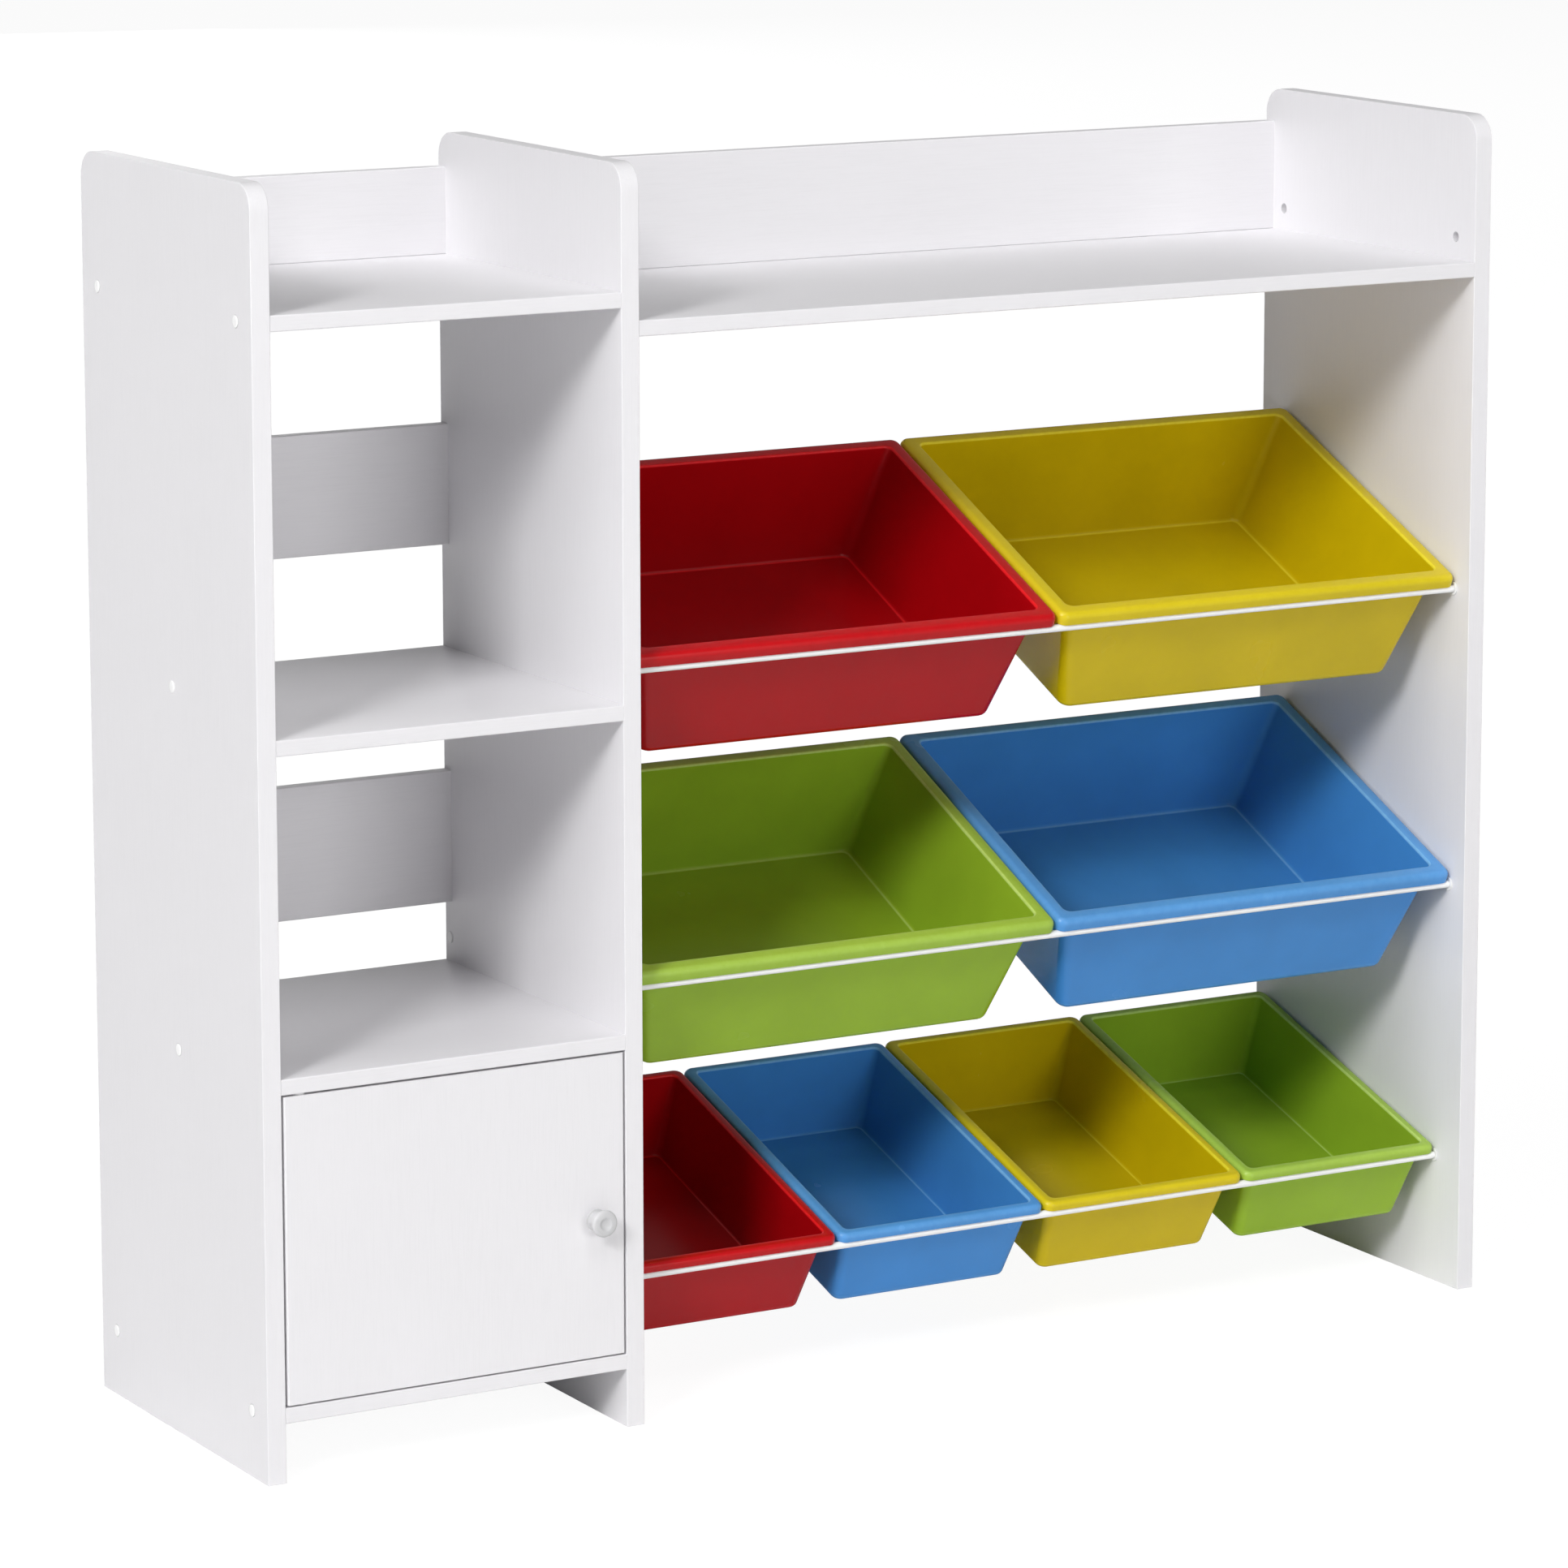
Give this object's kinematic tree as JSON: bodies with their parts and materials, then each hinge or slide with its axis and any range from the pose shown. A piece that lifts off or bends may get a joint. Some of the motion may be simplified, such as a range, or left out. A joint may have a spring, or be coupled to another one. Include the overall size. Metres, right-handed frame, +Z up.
{
  "type": "toy storage organizer",
  "caption": "Open toy organizer: a shelf tower with a cabinet beside a wide bay where sloping plastic bins hang on steel rods under a tray shelf.",
  "frame": {"origin": "centre of the outline on the floor (the knob counts in the depth)", "axes": "+X to the right seen from the front, -Y is the front with the door and bins, +Z up"},
  "size_m": [1.0878, 0.316, 0.963],
  "materials": {
    "white_laminate": "satin white laminate with a faint printed grain",
    "white_plastic": "satin moulded plastic",
    "zinc_steel": "zinc plated",
    "beech": "bare fluted wood",
    "white_steel": "white powder coat",
    "red_plastic": "semi-gloss moulded plastic",
    "yellow_plastic": "semi-gloss moulded plastic",
    "green_plastic": "semi-gloss moulded plastic",
    "blue_plastic": "semi-gloss moulded plastic"
  },
  "bodies": {
    "shelf_frame": {"side_panel_left": "white_laminate", "divider_panel": "white_laminate", "side_panel_right": "white_laminate", "cabinet_bottom_board": "white_laminate", "cabinet_top_shelf": "white_laminate", "middle_shelf": "white_laminate", "left_tray_shelf": "white_laminate", "right_tray_shelf": "white_laminate", "left_tray_rail": "white_laminate", "right_tray_rail": "white_laminate", "upper_back_strip": "white_laminate", "lower_back_strip": "white_laminate", "cabinet_back_board": "white_laminate", "door_pivot_pins": "zinc_steel", "magnetic_catch": "white_plastic", "catch_screws": "zinc_steel", "rod_end_cups": "white_plastic", "assembly_screws": "zinc_steel", "screw_caps": "white_plastic", "wooden_dowels": "beech", "cam_bolts": "zinc_steel", "cam_discs": "zinc_steel", "front_rod_top_tier": "white_steel", "rear_rod_top_tier": "white_steel", "front_rod_middle_tier": "white_steel", "rear_rod_middle_tier": "white_steel", "front_rod_bottom_tier": "white_steel", "rear_rod_bottom_tier": "white_steel"},
    "door": {"cabinet_door": "white_laminate", "door_knob": "white_plastic", "knob_screw": "zinc_steel", "door_pivot_bushes": "white_plastic", "catch_strike_plate": "zinc_steel", "strike_screw": "zinc_steel"},
    "red_large_bin": {"red_large_bin": "red_plastic"},
    "yellow_large_bin": {"yellow_large_bin": "yellow_plastic"},
    "green_large_bin": {"green_large_bin": "green_plastic"},
    "blue_large_bin": {"blue_large_bin": "blue_plastic"},
    "red_small_bin": {"red_small_bin": "red_plastic"},
    "blue_small_bin": {"blue_small_bin": "blue_plastic"},
    "yellow_small_bin": {"yellow_small_bin": "yellow_plastic"},
    "green_small_bin": {"green_small_bin": "green_plastic"}
  },
  "joints": [
    {"name": "door_hinge", "type": "hinge", "parent": "shelf_frame", "child": "door", "pos_m": [-0.512, -0.1345, 0.17575], "axis": [0, 0, -1], "range_deg": [0, 105]},
    {"name": "red_large_bin_lift", "type": "slide", "parent": "shelf_frame", "child": "red_large_bin", "axis": [0, -0.3987, 0.9171], "range_m": [0, 0.115]},
    {"name": "yellow_large_bin_lift", "type": "slide", "parent": "shelf_frame", "child": "yellow_large_bin", "axis": [0, -0.3987, 0.9171], "range_m": [0, 0.115]},
    {"name": "green_large_bin_lift", "type": "slide", "parent": "shelf_frame", "child": "green_large_bin", "axis": [0, -0.3987, 0.9171], "range_m": [0, 0.115]},
    {"name": "blue_large_bin_lift", "type": "slide", "parent": "shelf_frame", "child": "blue_large_bin", "axis": [0, -0.3987, 0.9171], "range_m": [0, 0.115]},
    {"name": "red_small_bin_lift", "type": "slide", "parent": "shelf_frame", "child": "red_small_bin", "axis": [0, -0.2974, 0.9548], "range_m": [0, 0.1]},
    {"name": "blue_small_bin_lift", "type": "slide", "parent": "shelf_frame", "child": "blue_small_bin", "axis": [0, -0.2974, 0.9548], "range_m": [0, 0.1]},
    {"name": "yellow_small_bin_lift", "type": "slide", "parent": "shelf_frame", "child": "yellow_small_bin", "axis": [0, -0.2974, 0.9548], "range_m": [0, 0.1]},
    {"name": "green_small_bin_lift", "type": "slide", "parent": "shelf_frame", "child": "green_small_bin", "axis": [0, -0.2974, 0.9548], "range_m": [0, 0.1]}
  ]
}
